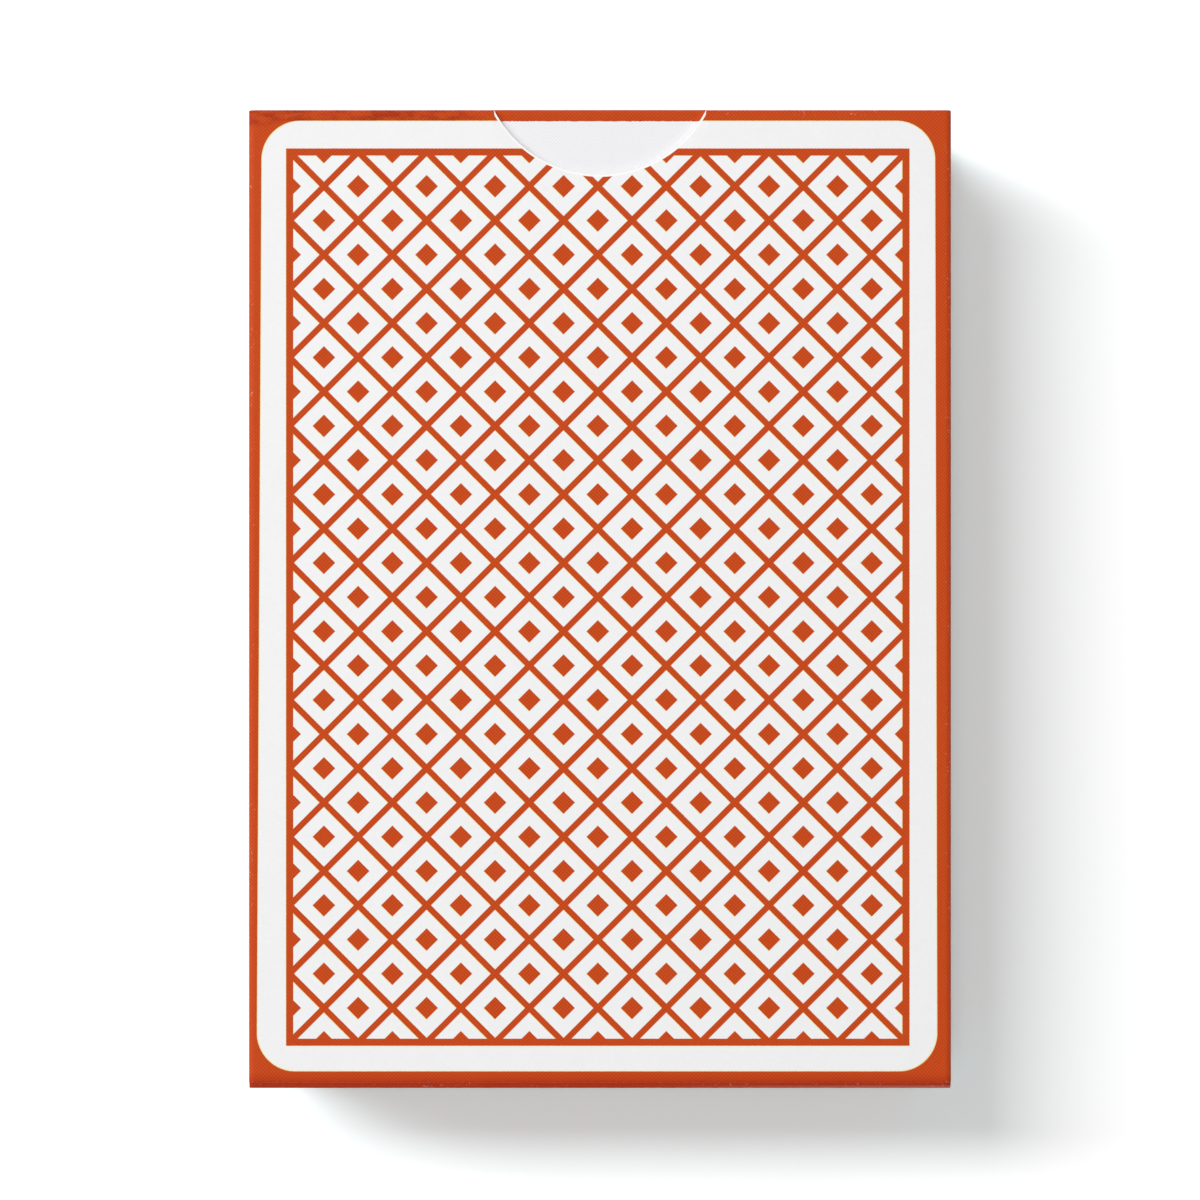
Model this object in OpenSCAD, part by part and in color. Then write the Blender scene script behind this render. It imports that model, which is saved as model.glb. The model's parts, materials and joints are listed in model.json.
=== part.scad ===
// Deck of playing cards in a paperboard tuck case that lies on its back panel.
// X runs across the case, +Y points to the lid and +Z to the front panel with the thumb notch.

/* [Cards] */
// Width of a card
card_w = 63.5; // [56:0.5:72]
// Length of a card
card_l = 88.9; // [78:0.1:100]
// Thickness of a card
card_t = 0.28; // [0.24:0.01:0.34]
// Radius of a card's corners
card_corner_r = 3.5; // [2:0.1:5]
// Air between two neighbouring cards
card_air = 0.01; // [0.005:0.005:0.02]

/* [Case board] */
// Thickness of the folded board
board_t = 0.4; // [0.3:0.02:0.5]
// Inner radius of the folds that run along the case and across its base
fold_inner_r = 0.4; // [0.2:0.05:0.6]
// Gap at a crease between the two panels that turn there
crease_gap = 0.05; // [0.03:0.01:0.08]
// Width of the glued seam flap inside the right wall
seam_w = 12; // [8:0.5:14]
// Step of the base panel's cut ends from the side walls
base_step = 0.3; // [0.1:0.05:0.5]
// Reach of the two glued flaps under the base panel
base_flap_l = 14; // [8:0.5:20]

/* [Room for the deck] */
// Play between the deck and the seam flap, and as much more on the other side
side_play = 0.2; // [0.1:0.05:0.6]
// Travel of the deck along the case up to the closed dust flaps
end_play = 0.6; // [0.5:0.05:1]
// Gap between the deck and the panels that it lies on and stands against
deck_seat = 0.05; // [0.02:0.01:0.1]

/* [Thumb notch] */
// Radius of the thumb notch
notch_r = 11.1; // [9:0.1:14]
// Depth of the thumb notch below the front panel's edge
notch_depth = 6.07; // [4:0.01:7]

/* [Lid and tongue] */
// Gap between the lid's ends and the planes of the side walls
lid_end_gap = 0.15; // [0.1:0.05:0.4]
// Length of the tuck tongue from its crease
tongue_l = 9.5; // [8.5:0.1:10.5]
// Radius of the tongue's free corners
tongue_corner_r = 6; // [3:0.5:8]
// Gap between each end of the tongue and the side wall
tongue_end_gap = 1; // [0.5:0.1:2]
// Gap between the tongue's crease and the front panel
tongue_front_gap = 0.12; // [0.1:0.01:0.2]
// Gap between the tongue's tip and the deck
tongue_deck_gap = 0.2; // [0.15:0.05:0.5]

/* [Dust flaps] */
// Reach of a dust flap from its crease
flap_l = 11.5; // [9:0.5:12]
// Radius of a dust flap's free corners
flap_corner_r = 3; // [1.5:0.25:3.5]
// Gap between a dust flap's back edge and the back fold
flap_back_gap = 0.2; // [0.1:0.05:0.5]
// Gap between a dust flap's front edge and the tongue's crease
flap_front_gap = 1.3; // [1.2:0.05:2]

/* [Hidden] */
$fn = 64;

// Cards from the lowest to the topmost
suits = ["spades", "diamonds", "clubs", "hearts"];
ranks = ["ace", "two", "three", "four", "five", "six", "seven", "eight", "nine", "ten", "jack", "queen", "king"];
jokers = ["joker_one", "joker_two"];
card_names = concat([for (suit = suits) for (rank = ranks) str(rank, "_of_", suit)], jokers);
card_count = len(card_names);

print_orange = [0.77, 0.3, 0.12];
board_white = [0.94, 0.94, 0.93];
card_white = [0.97, 0.97, 0.96];

// The flaps turn by this share of the lid's turn, so their back edges slope by the same share to stay under it
flap_follow_share = 0.5;
// Slope of a dust flap's front edge, which keeps it out of the tongue's path
flap_front_slope_share = 0.16;
// Lean of the tongue that keeps its tip off the front panel while it leaves its slot: an eighth of its length
// over the deck's thickness
tongue_lean_share = 0.125;

// Deck
card_pitch = card_t + card_air;
deck_t = card_count * card_pitch - card_air;
tongue_lean = asin(tongue_lean_share * tongue_l / deck_t);

// Outer sizes of the case
fold_r = fold_inner_r + board_t;
inner_w = card_w + 2 * (side_play + board_t);
case_w = inner_w + 2 * board_t;
tongue_room = tongue_front_gap + board_t + tongue_l * sin(tongue_lean) + tongue_deck_gap;
inner_d = deck_seat + deck_t + tongue_room;
case_d = inner_d + 2 * board_t;
case_l = card_l + 4 * board_t + deck_seat + end_play + crease_gap;

// Places along the case
base_y = -case_l / 2;
lid_y = case_l / 2;
deck_y = base_y + 2 * board_t + deck_seat;
back_top_y = lid_y - board_t - crease_gap;
flap_axis_y = back_top_y - board_t / 2;
side_top_y = flap_axis_y - board_t / 2 - crease_gap;

// Axes of the lid's and the tongue's creases
lid_axis_y = lid_y - board_t / 2;
lid_axis_z = board_t / 2;
tongue_axis_z = case_d - board_t - tongue_front_gap - board_t / 2;
flap_axis_x = case_w / 2 - board_t / 2;

lid_w = inner_w - 2 * lid_end_gap;
tongue_w = inner_w - 2 * tongue_end_gap;
front_flat_w = case_w - 2 * fold_r;
base_w = case_w - 2 * base_step;

// How far a cut runs past the board that it cuts
overrun = board_t;
// Steps of an arc at a dust flap's corner
arc_steps = 8;

// Points that round the corner between the edges towards the points before and after it
function rounded_corner(before, corner, after, r) =
    let (
        u = (before - corner) / norm(before - corner),
        v = (after - corner) / norm(after - corner),
        half = acos(u * v) / 2,
        centre = corner + (u + v) / norm(u + v) * r / sin(half),
        from = corner + u * r / tan(half) - centre,
        to = corner + v * r / tan(half) - centre,
        first = atan2(from[1], from[0]),
        turn = (atan2(to[1], to[0]) - first + 540) % 360 - 180
    )
    [for (i = [0 : arc_steps]) centre + r * [cos(first + turn * i / arc_steps), sin(first + turn * i / arc_steps)]];

// Carries a profile in X and Z along Y
module along_y(low, high) {
    translate([0, high, 0])
        rotate([90, 0, 0])
            linear_extrude(height = high - low)
                children();
}

// Carries a profile in Y and Z along X, to both sides of the middle
module across_x(width) {
    translate([-width / 2, 0, 0])
        rotate([90, 0, 90])
            linear_extrude(height = width)
                children();
}

// Rectangle about the origin with true round corners
module rounded_rectangle(size, r) {
    square([size[0] - 2 * r, size[1]], center = true);
    square([size[0], size[1] - 2 * r], center = true);
    for (x = [-1, 1])
        for (y = [-1, 1])
            translate([x * (size[0] / 2 - r), y * (size[1] / 2 - r)])
                circle(r);
}

// One card, counted from the lowest
module card(index) {
    color(card_white)
        translate([0, deck_y + card_l / 2, board_t + deck_seat + index * card_pitch])
            linear_extrude(height = card_t)
                rounded_rectangle([card_w, card_l], card_corner_r);
}

// Section through the four walls of the case
module wall_ring() {
    translate([0, case_d / 2])
        difference() {
            rounded_rectangle([case_w, case_d], fold_r);
            rounded_rectangle([inner_w, inner_d], fold_inner_r);
        }
}

// Front panel with the thumb notch, back panel and side walls, folded from one sheet
module case_sleeve() {
    color(print_orange)
        difference() {
            union() {
                along_y(base_y + board_t, lid_y)
                    wall_ring();
                seam_flap();
            }
            thumb_notch();
            side_wall_tops();
            back_panel_top();
            base_fold_room();
        }
}

// The sheet's end, glued to the inside of the right wall
module seam_flap() {
    translate([inner_w / 2 - board_t, base_y + 2 * board_t + crease_gap, fold_r])
        cube([board_t + board_t / 2, side_top_y - base_y - 2 * board_t - crease_gap, seam_w]);
}

// Round cut in the front panel's edge
module thumb_notch() {
    translate([0, lid_y + notch_r - notch_depth, case_d - board_t - overrun])
        cylinder(r = notch_r, h = board_t + 2 * overrun);
}

// What is cut off the side walls so that the dust flaps lie under the lid
module side_wall_tops() {
    translate([-case_w / 2 - overrun, side_top_y, fold_r])
        cube([case_w + 2 * overrun, lid_y - side_top_y + overrun, case_d - 2 * fold_r]);
    for (side = [-1, 1])
        translate([side * case_w / 2 - fold_r, side_top_y, -overrun])
            cube([2 * fold_r, lid_y - side_top_y + overrun, fold_r + 2 * overrun]);
}

// What is cut off the back panel so that the lid turns on its crease
module back_panel_top() {
    translate([-case_w / 2 - overrun, back_top_y, -overrun])
        cube([case_w + 2 * overrun, lid_y - back_top_y + overrun, fold_r + 2 * overrun]);
}

// What is cut off the front panel where it folds over the base
module base_fold_room() {
    translate([-front_flat_w / 2, base_y, case_d - board_t - overrun])
        cube([front_flat_w, fold_r, board_t + 2 * overrun]);
}

// Base panel with its fold from the front panel, glued over the two inner flaps
module base_closure() {
    color(print_orange)
        union() {
            translate([-base_w / 2, base_y, 0])
                cube([base_w, board_t, case_d - fold_r]);
            across_x(front_flat_w)
                translate([base_y + fold_r, case_d - fold_r])
                    base_fold_section();
            for (side = [-1, 1])
                translate([side * (inner_w - base_flap_l) / 2 - base_flap_l / 2, base_y + board_t / 2, fold_r])
                    cube([base_flap_l, board_t + board_t / 2, case_d - 2 * fold_r]);
        }
}

// Quarter ring of board about the fold's middle
module base_fold_section() {
    intersection() {
        difference() {
            circle(fold_r);
            circle(fold_inner_r);
        }
        translate([-fold_r, 0])
            square(fold_r);
    }
}

// Lid with a round edge on its crease, and its front edge cut back so that the tongue can fold under it
module lid() {
    front_z = tongue_axis_z - board_t / 2 - crease_gap;
    color(print_orange)
        across_x(lid_w)
            union() {
                translate([lid_axis_y, lid_axis_z])
                    circle(board_t / 2);
                polygon([
                    [lid_y - board_t, lid_axis_z],
                    [lid_y, lid_axis_z],
                    [lid_y, front_z],
                    [lid_y - board_t, front_z - board_t]
                ]);
            }
}

// Section of a panel of the given length from the round edge on its crease, which lies at the origin
module creased_panel_section(length) {
    translate([-length, -board_t / 2])
        square([length, board_t]);
    circle(board_t / 2);
}

// Tongue behind the front panel, with round free corners
module tuck_tongue() {
    color(board_white)
        translate([0, lid_axis_y, tongue_axis_z])
            rotate([tongue_lean, 0, 0])
                intersection() {
                    across_x(tongue_w)
                        creased_panel_section(tongue_l);
                    translate([0, 0, -board_t])
                        linear_extrude(height = 2 * board_t)
                            tongue_outline();
                }
}

// Outline of the tongue, with its crease along X
module tongue_outline() {
    translate([-tongue_w / 2, tongue_corner_r - tongue_l])
        square([tongue_w, tongue_l - tongue_corner_r + board_t]);
    translate([tongue_corner_r - tongue_w / 2, -tongue_l])
        square([tongue_w - 2 * tongue_corner_r, tongue_l]);
    for (side = [-1, 1])
        translate([side * (tongue_w / 2 - tongue_corner_r), tongue_corner_r - tongue_l])
            circle(tongue_corner_r);
}

// Outline of the left dust flap: its reach from the crease, and its place along Z
module flap_outline() {
    back_z = fold_r + flap_back_gap;
    front_z = tongue_axis_z - flap_front_gap;
    back_root = [-board_t, back_z];
    front_root = [-board_t, front_z];
    back_tip = [flap_l, back_z + flap_follow_share * flap_l];
    front_tip = [flap_l, front_z - flap_front_slope_share * flap_l];
    polygon(concat(
        [front_root, back_root, [0, back_z]],
        rounded_corner([0, back_z], back_tip, front_tip, flap_corner_r),
        rounded_corner(back_tip, front_tip, [0, front_z], flap_corner_r),
        [[0, front_z]]
    ));
}

// Left dust flap, on the crease at the top of its side wall
module left_dust_flap() {
    color(print_orange)
        translate([-flap_axis_x, flap_axis_y, 0])
            intersection() {
                linear_extrude(height = case_d)
                    mirror([1, 0, 0])
                        creased_panel_section(flap_l);
                along_y(-board_t, board_t)
                    flap_outline();
            }
}

// Right dust flap, the left one's mirror image
module right_dust_flap() {
    mirror([1, 0, 0])
        left_dust_flap();
}

case_sleeve();
base_closure();
lid();
tuck_tongue();
left_dust_flap();
right_dust_flap();
for (index = [0 : card_count - 1])
    card(index);
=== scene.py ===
import json

import bpy
import numpy as np
from mathutils import Matrix, Vector


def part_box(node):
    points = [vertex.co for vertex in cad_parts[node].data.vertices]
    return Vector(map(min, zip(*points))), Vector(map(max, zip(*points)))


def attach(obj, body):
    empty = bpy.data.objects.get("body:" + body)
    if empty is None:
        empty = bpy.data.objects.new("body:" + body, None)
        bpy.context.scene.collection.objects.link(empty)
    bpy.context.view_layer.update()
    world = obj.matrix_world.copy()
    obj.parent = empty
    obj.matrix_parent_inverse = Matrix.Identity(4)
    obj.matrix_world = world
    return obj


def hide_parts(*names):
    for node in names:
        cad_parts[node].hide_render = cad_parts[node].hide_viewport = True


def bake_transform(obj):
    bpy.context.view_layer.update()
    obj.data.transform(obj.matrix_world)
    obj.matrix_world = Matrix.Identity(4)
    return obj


# Deck of playing cards in a printed tuck case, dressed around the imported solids. Lengths are in millimetres
# until a mesh is made: X across the case, Y towards the lid, Z towards the front panel.
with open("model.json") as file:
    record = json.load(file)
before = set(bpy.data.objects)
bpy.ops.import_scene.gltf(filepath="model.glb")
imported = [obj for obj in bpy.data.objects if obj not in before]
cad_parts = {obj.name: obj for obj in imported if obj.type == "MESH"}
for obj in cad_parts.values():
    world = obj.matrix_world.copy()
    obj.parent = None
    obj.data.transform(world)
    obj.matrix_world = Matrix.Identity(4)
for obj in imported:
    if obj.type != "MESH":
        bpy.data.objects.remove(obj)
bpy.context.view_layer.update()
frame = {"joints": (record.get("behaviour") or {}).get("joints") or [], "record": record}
mm = 0.001


def nodeBox(node):
    return [np.round(np.array(corner) / mm, 4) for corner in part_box(node)]  # lowest and highest corner


creases = [joint for joint in frame["joints"] if "pos_m" in joint]
creaseAxis = {crease["name"]: np.array(crease["pos_m"]) / mm for crease in creases}
sleeveHigh = nodeBox("case_sleeve")[1]
baseLow, baseHigh = nodeBox("base_closure")
lidLow, lidHigh = nodeBox("lid")
tongueHigh = nodeBox("tuck_tongue")[1]
flapLow, flapHigh = nodeBox("left_dust_flap")

boardT = lidHigh[1] - lidLow[1]
case = {
    "halfW": sleeveHigh[0],
    "depth": sleeveHigh[2],
    "lidY": sleeveHigh[1],
    "baseY": baseLow[1],
    "foldR": 1.5 * boardT,  # outer radius of the long folds
    "midR": boardT,  # radius of the board's middle in a long fold
    "creaseR": 0.25,  # radius of the board's middle in a crease of the lid, tongue or a flap
    "creaseReach": 0.65,  # distance from a crease's axis to a point worked out on either side of it
    "crown": 0.08,  # rise of the front panel's middle
    "chamfer": 0.05,  # softened edge of cut board
    "shoulder": 0.15,  # length over which a sheet's side steps in or out
}
sharpAngle = 0.6  # radians, past which an edge is shaded sharp


# Meshes

def runs(*stops):
    # evenly spaced values in runs: start, steps, stop, steps, stop ...
    legs = zip(stops[0::2], stops[1::2], stops[2::2])
    parts = [np.linspace(start, stop, steps, endpoint=False) for start, steps, stop in legs]
    return np.concatenate(parts + [[stops[-1]]])


def gridFaces(rows, cols, wrapped=False):
    # quads between neighbouring rows and columns of a grid of points, which may close on itself both ways
    row = np.arange(rows if wrapped else rows - 1)[:, None]
    col = np.arange(cols if wrapped else cols - 1)[None, :]
    below, beside = (row + 1) % rows, (col + 1) % cols
    corners = [row * cols + col, below * cols + col, below * cols + beside, row * cols + beside]
    return np.stack(np.broadcast_arrays(*corners), -1).reshape(-1, 4)


def rimLoop(rows, cols):
    # numbers of a grid's border points, once round
    grid = np.arange(rows * cols).reshape(rows, cols)
    return np.concatenate([grid[0], grid[1:, -1], grid[-1, -2::-1], grid[-2:0:-1, 0]])


def stripFaces(first, second):
    # quads between two closed loops of as many points
    return np.stack([first, second, np.roll(second, -1), np.roll(first, -1)], -1)


def outward(points, faces):
    # a closed mesh whose faces point inwards has a negative volume, and its faces are turned round
    first, second, third, fourth = (points[faces[:, corner]] for corner in range(4))
    volume = (first * (np.cross(second, third) + np.cross(third, fourth))).sum()
    return faces if volume > 0 else faces[:, ::-1]


def makePiece(name, points, faces, slots, materials):
    # a mesh piece in metres, which also keeps each point's resting place in millimetres for its print
    mesh = bpy.data.meshes.new(name)
    mesh.from_pydata((points * mm).tolist(), [], outward(points, faces).tolist())
    mesh.polygons.foreach_set("material_index", np.asarray(slots, np.int32))
    rest = mesh.attributes.new("rest", "FLOAT_VECTOR", "POINT")
    rest.data.foreach_set("vector", points.astype(np.float32).ravel())
    for material in materials:
        mesh.materials.append(material)
    mesh.shade_smooth()
    mesh.set_sharp_from_angle(angle=sharpAngle)
    mesh.update()
    piece = bpy.data.objects.new(name, mesh)
    bpy.context.scene.collection.objects.link(piece)
    return piece


def foldPath(along, first, radius, turn):
    # straight for the first length, round a fold of that radius and turn, then straight on;
    # gives the points and the unit normals on the outside of the bend
    angle = np.clip((along - first) / radius, 0, turn)
    after = np.maximum(along - first - radius * turn, 0)
    ahead = np.minimum(along, first) + radius * np.sin(angle) + after * np.cos(turn)
    aside = radius * (1 - np.cos(angle)) + after * np.sin(turn)
    return np.stack([ahead, aside], -1), np.stack([np.sin(angle), -np.cos(angle)], -1)


def sheetGrid(sheet, inset, offset):
    # point = fold path at a length along it, pushed off the board's middle by offset and spread across
    # between the outline's edges; inset draws the free edges in
    ends, length = sheet["freeEnds"], sheet["along"][-1]
    along = inset * ends[0] + sheet["along"] * (length - inset * (ends[0] + ends[1])) / length
    path, normal = foldPath(along, *sheet["fold"])
    low, high = sheet["outline"](along, path, inset)
    across = low[:, None] + (high - low)[:, None] * sheet["across"][None, :]
    flat = path + normal * offset
    axes = np.array(sheet["axes"], float)
    grid = flat[:, None, :1] * axes[0] + flat[:, None, 1:] * axes[1] + across[..., None] * axes[2]
    return grid + np.array(sheet["origin"], float)


def sheetSolid(sheet, thickness, chamfer):
    # outer and inner faces drawn in by the chamfer, and two border loops between them;
    # slots: outer face, inner face, cut edge
    half = thickness / 2
    outer, inner = (sheetGrid(sheet, chamfer, side * half) for side in (1, -1))
    rims = [sheetGrid(sheet, 0, side * (half - chamfer)) for side in (1, -1)]
    rows, cols = outer.shape[:2]
    count, loop = rows * cols, rimLoop(rows, cols)
    whole = [grid.reshape(-1, 3) for grid in (outer, inner)]
    border = [grid.reshape(-1, 3)[loop] for grid in rims]
    rimOut = 2 * count + np.arange(len(loop))
    rimIn = rimOut + len(loop)
    quads = gridFaces(rows, cols)
    strips = [stripFaces(rimOut, loop), stripFaces(rimIn, rimOut), stripFaces(loop + count, rimIn)]
    faces = np.concatenate([quads, quads[:, ::-1] + count] + strips)
    slots = np.repeat([0, 1, 2], [len(quads), len(quads), 3 * len(loop)])
    return np.concatenate(whole + border), faces, slots


# Shader maths

class Wire:
    # a shader socket: operators on it add Math nodes, and node() adds any other node

    def __init__(self, tree, socket=None):
        self.tree, self.socket = tree, socket

    def node(self, kind, settings=None, inputs=None, output=0):
        made = self.tree.nodes.new("ShaderNode" + kind)
        for name, value in (settings or {}).items():
            setattr(made, name, value)
        for name, value in (inputs or {}).items():
            if isinstance(value, Wire):
                self.tree.links.new(value.socket, made.inputs[name])
            else:
                made.inputs[name].default_value = value
        return Wire(self.tree, made.outputs[output])

    def math(self, operation, *others):
        return self.node("Math", {"operation": operation}, dict(enumerate((self, *others))))

    def __add__(self, other):
        return self.math("ADD", other)

    def __sub__(self, other):
        return self.math("SUBTRACT", other)

    def __rsub__(self, other):
        return self * -1 + other

    def __mul__(self, other):
        return self.math("MULTIPLY", other)

    def __truediv__(self, other):
        return self.math("DIVIDE", other)

    def __abs__(self):
        return self.math("ABSOLUTE")

    __radd__, __rmul__ = __add__, __mul__

    def max(self, other):
        return self.math("MAXIMUM", other)

    def min(self, other):
        return self.math("MINIMUM", other)

    def toNearest(self):
        return abs(self - self.math("ROUND"))  # distance to the nearest whole number

    def ramp(self, low, high):
        # smooth step from 0 at low to 1 at high
        limits = {"Value": self, "From Min": low, "From Max": high}
        return self.node("MapRange", {"interpolation_type": "SMOOTHSTEP"}, limits)

    def under(self, limit, soft):
        return self.ramp(limit + soft, limit - soft)  # 1 under the limit and 0 over it, with a soft edge

    def noise(self, scale, detail=2.0, roughness=0.5):
        # soft noise on a vector, with scale in turns per millimetre
        settings = {"Vector": self, "Scale": scale, "Detail": detail, "Roughness": roughness}
        return self.node("TexNoise", {}, settings)

    def mix(self, first, second, blend="MIX"):
        # the first colour where this mask is 0 and the second where it is 1
        return self.node("Mix", {"data_type": "RGBA", "blend_type": blend}, {0: self, 6: first, 7: second}, 2)

    def stretch(self, scale):
        return self.node("Mapping", {}, {"Vector": self, "Scale": scale})  # a vector scaled along each axis

    def parts(self):
        split = self.node("SeparateXYZ", {}, {0: self}).socket.node
        return [Wire(self.tree, socket) for socket in split.outputs]  # a vector's three parts


def distance(u, v):
    return (u * u + v * v).math("SQRT")


def newMaterial(name):
    # a material, and its resting place as a vector in millimetres
    material = bpy.data.materials.new(name)
    material.use_nodes = True
    return material, Wire(material.node_tree).node("Attribute", {"attribute_name": "rest"}, output="Vector")


def dress(material, **sockets):
    # puts values or links on the shader's sockets, named in camelCase
    tree = material.node_tree
    shader = tree.nodes["Principled BSDF"]
    named = {socket.name.replace(" ", "").lower(): socket for socket in shader.inputs}
    for name, value in sockets.items():
        socket = named[name.lower()]
        if isinstance(value, Wire):
            tree.links.new(value.socket, socket)
        else:
            socket.default_value = value
    return material


def bump(height, depth):
    # a normal from a height of 0 to 1 that stands for a depth in millimetres
    return height.node("Bump", {}, {"Strength": 1.0, "Distance": depth * mm, "Height": height})


def srgb(red, green, blue):
    # a colour written as 0 to 255, in the linear values that a socket takes
    share = np.array([red, green, blue]) / 255
    return (*np.where(share < 0.04045, share / 12.92, ((share + 0.055) / 1.055) ** 2.4), 1.0)


# Print and wear of the case, with painted shade and a painted reflection at its base fold

paperNoise = {  # scale, detail and roughness of each
    "cloud": (0.35, 3.0),
    "mottle": (2.6, 2.0),
    "grain": (9.0, 2.0),
    "waves": (2.2, 3.0),
    "ragged": (6.0, 1.0),
    "bleed": (6.0, 3.0),
    "streaks": (1.1, 4.0, 0.65),
    "specks": (3.4, 3.0, 0.7),
    "patches": (0.3, 2.0),
    "fibres": (5.0, 4.0, 0.65),
    "stains": (0.5, 2.0),
    "cutFibres": (7.0, 3.0, 0.7),
    "cardFibres": (4.0, 3.0),
}
casePrint = {
    "paper": (srgb(234, 234, 234), srgb(246, 246, 246)),
    "yellowInk": (1.0, 0.80, 0.055, 1.0),  # what each ink lets through
    "redInk": (0.675, 0.111, 0.30, 1.0),
    "denseInk": (0.84, 0.66, 0.62, 1.0),  # how much darker the ink is where it lies thicker
    "fringe": 0.7,  # strength of the yellow where it shows beside the red
    "panelX": -0.215,  # middle and half sizes of the white panel, which is printed a little askew
    "panelY": 0.30,
    "panelHalfX": 31.535,
    "panelHalfY": 44.27,
    "panelSkew": 0.00145,
    "panelTaper": 0.00385,
    "panelR": 3.6,
    "fieldX": -0.2,  # middle of the trellis
    "fieldY": 0.2,
    "cells": (9, 13),
    "cell": 6.377,
    "line": 0.58,  # widths of the trellis lines and the frame line
    "frameLine": 0.66,
    "diamond": 0.165,  # half side of a cell's diamond, as a share of the lines' spacing
    "shift": (-0.045, -0.035),  # how far the yellow plate is off the red one
    "spread": 0.06,  # how far the yellow plate reaches into the panel
    "soft": 0.025,  # softness of a printed edge, and how far it is ragged
    "ragged": 0.03,
    "screen": 0.25,  # pitch of the halftone dots
    "dots": 0.75,  # how strongly they and the noises vary the ink, and its middle thickness
    "cloudy": 0.6,
    "mottled": 0.7,
    "thickness": 0.32,
    "rough": 0.56,  # how rough the paper is, how much less the ink is, and how far the noises vary it
    "inkSmooth": 0.04,
    "roughGrain": 0.16,
    "roughCloud": 0.10,
    "gloss": 0.06,
    "relief": 0.006,
}
caseWearAndShade = {
    "frontZ": (16.6, 17.4),  # heights between which the marks of the front set in
    "foldBand": (0.9, 0.3),  # distances from a wall between which the wear of its folds sets in
    "smudgeX": (-9, -14),  # streaky darkening at one end of the lid's edge, and how far it wanders
    "smudgeY": (case["lidY"] - 1.6, case["lidY"] - 0.6),
    "smudgeWander": 0.8,
    "smudgeStretch": (0.5, 1.3, 1.0),
    "smudgeStreaks": (0.38, 0.68),
    "smudgeInk": (0.66, 0.50, 0.72, 1.0),
    "creaseY": case["baseY"] + 0.55,  # painted shade: a dark line along the base fold
    "creaseLine": (0.24, 0.07),
    "creaseShare": 0.45,
    "creaseInk": (0.72, 0.50, 0.55, 1.0),
    "shadeY": (case["baseY"] + 1.75, case["baseY"] + 0.35),  # painted shade that darkens the ink towards the base fold
    "shadeInk": (0.82, 0.60, 0.68, 1.0),
    "wander": 0.3,  # how far the painted shade line and the painted fold shade wander
    "rubbedX": (0, 28),  # strip of the base fold painted paler: a painted reflection of the pale floor
    "rubbedY": (case["baseY"] + 0.36, case["baseY"] + 0.2),
    "rubbedShare": 0.10,
    "specks": (0.60, 0.72),  # light specks on the folds, and the patches in which they lie
    "speckPatches": (0.42, 0.62),
    "speckShare": 0.35,
}


def noises(place, *names):
    return [place.noise(*paperNoise[name]) for name in names]


def trellis(x, y, design):
    # crossing lines where x + y or x - y is a whole number of cells, a diamond in each cell, and a frame line
    slant = design["cell"] / np.sqrt(2)  # spacing of the lines
    col, row = x / design["cell"], y / design["cell"]
    toLine = (col + row).toNearest().min((col - row).toNearest())
    line = (toLine * slant).under(design["line"] / 2, design["soft"])
    diamond = ((0.5 - toLine) * slant).under(design["diamond"] * slant, design["soft"])
    beyond = (abs(col) - design["cells"][0] / 2).max(abs(row) - design["cells"][1] / 2) * design["cell"]
    frameLine = abs(beyond).under(design["frameLine"] / 2, design["soft"])
    return (line.max(diamond) * beyond.under(0, design["soft"])).max(frameLine)


def platePrint(x, y, shift=(0, 0), spread=0):
    # one plate's ink: everything outside the white panel's rounded rectangle, and the trellis inside it
    fromMiddle = x - (y * casePrint["panelSkew"] + casePrint["panelX"])
    halfX = casePrint["panelHalfX"] - y * casePrint["panelTaper"] - spread
    pastX = abs(fromMiddle) - halfX + casePrint["panelR"]
    pastY = abs(y - casePrint["panelY"]) - (casePrint["panelHalfY"] - spread - casePrint["panelR"])
    beyond = distance(pastX.max(0), pastY.max(0)) + pastX.max(pastY).min(0) - casePrint["panelR"]
    border = beyond.ramp(-casePrint["soft"], casePrint["soft"])
    fieldX, fieldY = casePrint["fieldX"] + shift[0], casePrint["fieldY"] + shift[1]
    return border.max(trellis(x - fieldX, y - fieldY, casePrint))


def halftone(x, y, pitch):
    # dots on a screen turned by 45 degrees, from -1 to 1: half the sum of a sine along each diagonal
    turn = 2 * np.pi / pitch / np.sqrt(2)
    return (((x + y) * turn).math("SINE") + ((x - y) * turn).math("SINE")) * 0.5


def layInk(paper, red, yellow, dots, cloud, mottle):
    # the paper through the yellow ink, then through the red one, and darker where the ink lies thicker
    uneven = (cloud - 0.5) * casePrint["cloudy"] + (mottle - 0.5) * casePrint["mottled"]
    thick = dots * casePrint["dots"] + uneven + casePrint["thickness"]
    colour = yellow.mix(paper, casePrint["yellowInk"], "MULTIPLY")
    colour = red.mix(colour, casePrint["redInk"], "MULTIPLY")
    return (red * thick.max(0).min(1)).mix(colour, casePrint["denseInk"], "MULTIPLY")


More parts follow.
